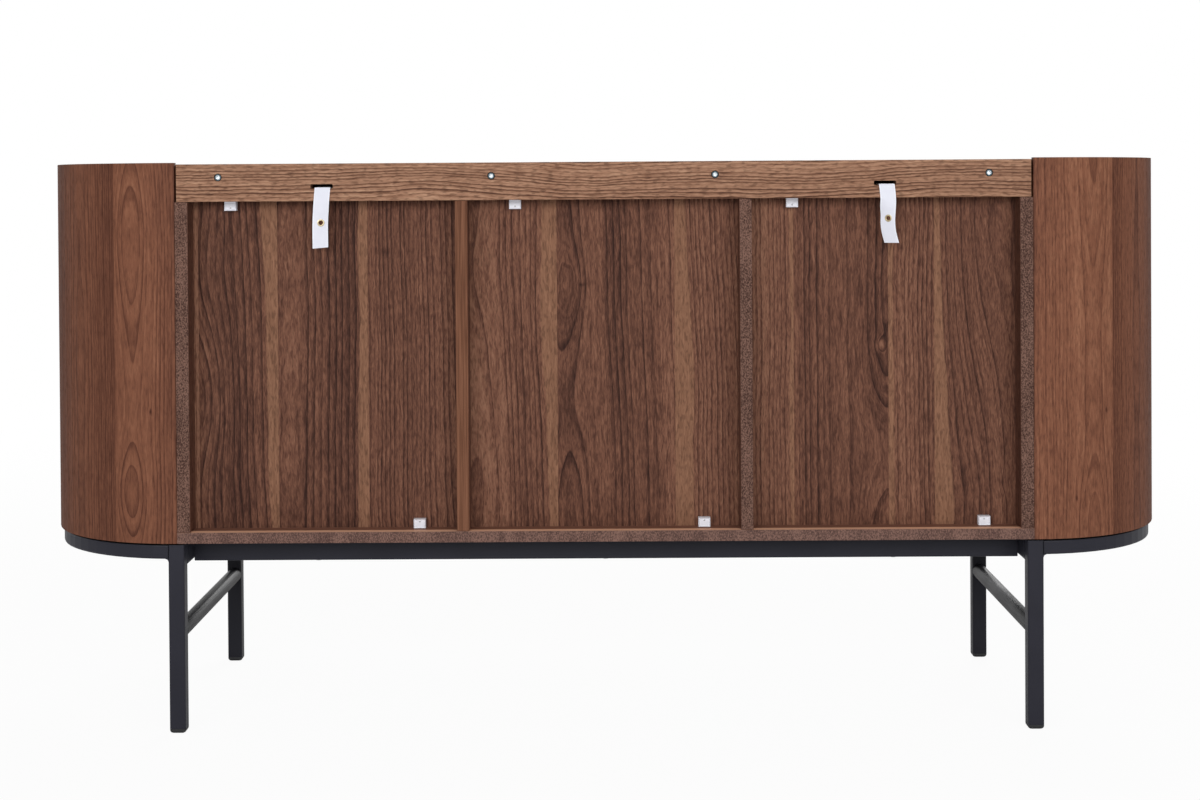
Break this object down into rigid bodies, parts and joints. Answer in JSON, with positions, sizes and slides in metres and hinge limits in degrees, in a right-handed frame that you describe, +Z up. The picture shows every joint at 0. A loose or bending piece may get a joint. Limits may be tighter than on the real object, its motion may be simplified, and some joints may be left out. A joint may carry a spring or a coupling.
{
  "type": "sideboard",
  "caption": "Long sideboard with half-round ends, hinged doors, shelves, a framed panelled back and a slim black tube base.",
  "frame": {"origin": "on the floor under the middle of the sideboard", "axes": "+X along the width to the right as seen from the doors, +Y to the back, +Z up; the doors face -Y"},
  "size_m": [1.6, 0.4226, 0.785],
  "materials": {
    "walnut_shell": "reddish walnut veneer, satin lacquer",
    "walnut_board": "walnut veneer on board, satin lacquer",
    "walnut_rail": "light walnut veneer, lengthwise grain, satin",
    "walnut_panel": "dark walnut veneer, upright planks, matt",
    "white_plastic": "moulded, satin",
    "black_plastic": "moulded, matt",
    "zinc_steel": "zinc plated",
    "black_steel": "black powder coat, satin",
    "white_webbing": "woven nylon tape"
  },
  "bodies": {
    "carcass": {"end_shell_left": "walnut_shell", "end_shell_right": "walnut_shell", "top_board": "walnut_shell", "bottom_board": "walnut_board", "ceiling_board": "walnut_board", "side_left": "walnut_board", "side_right": "walnut_board", "divider_left": "walnut_board", "divider_right": "walnut_board", "shelf_left": "walnut_board", "shelf_centre": "walnut_board", "shelf_right": "walnut_board", "front_top_rail": "walnut_rail", "rear_top_rail": "walnut_rail", "back_panel_left": "walnut_panel", "back_panel_centre": "walnut_panel", "back_panel_right": "walnut_panel", "clip_top_left": "white_plastic", "clip_bottom_left": "white_plastic", "clip_top_centre": "white_plastic", "clip_bottom_centre": "white_plastic", "clip_top_right": "white_plastic", "clip_bottom_right": "white_plastic", "rail_bolt_1": "zinc_steel", "rail_bolt_2": "zinc_steel", "rail_bolt_3": "zinc_steel", "rail_bolt_4": "zinc_steel", "catch_left": "zinc_steel", "catch_centre": "zinc_steel", "catch_right": "zinc_steel", "anti_tip_strap_left": "white_webbing", "anti_tip_strap_right": "white_webbing", "leg_front_left": "black_steel", "leg_front_right": "black_steel", "leg_rear_left": "black_steel", "leg_rear_right": "black_steel", "end_band_left": "black_steel", "end_band_right": "black_steel", "cross_beam_left": "black_steel", "cross_beam_right": "black_steel", "stretcher_left": "black_steel", "stretcher_right": "black_steel", "long_rail_front": "black_steel", "long_rail_rear": "black_steel", "glide_front_left": "black_plastic", "glide_front_right": "black_plastic", "glide_rear_left": "black_plastic", "glide_rear_right": "black_plastic"},
    "door_left": {"door_left": "walnut_shell", "knob_left": "black_steel", "lower_pin_left": "zinc_steel", "upper_pin_left": "zinc_steel"},
    "door_centre": {"door_centre": "walnut_shell", "knob_centre": "black_steel", "lower_pin_centre": "zinc_steel", "upper_pin_centre": "zinc_steel"},
    "door_right": {"door_right": "walnut_shell", "knob_right": "black_steel", "lower_pin_right": "zinc_steel", "upper_pin_right": "zinc_steel"}
  },
  "joints": [
    {"name": "door_left_hinge", "type": "hinge", "parent": "carcass", "child": "door_left", "pos_m": [-0.5515, -0.179, 0.5046], "axis": [0, 0, -1], "range_deg": [0, 100]},
    {"name": "door_centre_hinge", "type": "hinge", "parent": "carcass", "child": "door_centre", "pos_m": [-0.1685, -0.179, 0.5046], "axis": [0, 0, -1], "range_deg": [0, 100]},
    {"name": "door_right_hinge", "type": "hinge", "parent": "carcass", "child": "door_right", "pos_m": [0.5515, -0.179, 0.5046], "axis": [0, 0, 1], "range_deg": [0, 100]}
  ]
}
